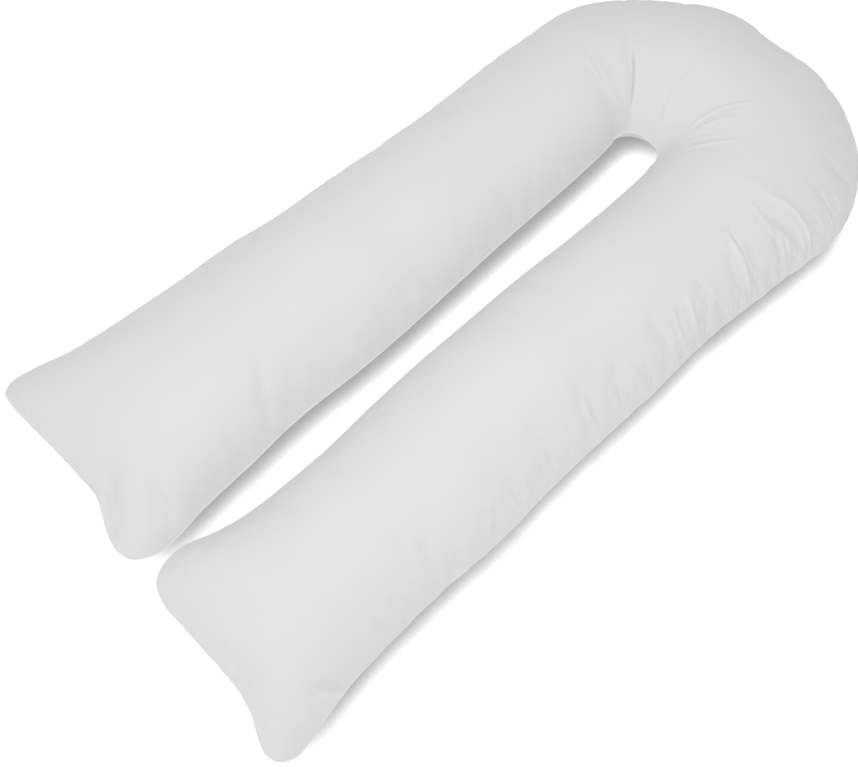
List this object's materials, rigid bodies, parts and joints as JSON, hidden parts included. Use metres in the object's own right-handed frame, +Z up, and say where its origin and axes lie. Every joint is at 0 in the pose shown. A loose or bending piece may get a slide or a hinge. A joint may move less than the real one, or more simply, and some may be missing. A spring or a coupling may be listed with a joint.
{
  "type": "body pillow",
  "caption": "U-shaped full-body pillow: long soft filled legs joined by a rounded bend, for lying between and supporting the body.",
  "frame": {"origin": "on the floor, under the middle of the footprint", "axes": "+Z up, +Y from the open ends of the legs towards the bend, +X towards the right leg seen from above with the bend away"},
  "size_m": [0.8956, 1.76, 0.1984],
  "materials": {
    "cotton": "plain woven white cotton, matt, lightly creased"
  },
  "bodies": {
    "root": {"pillow": "cotton"}
  },
  "joints": []
}
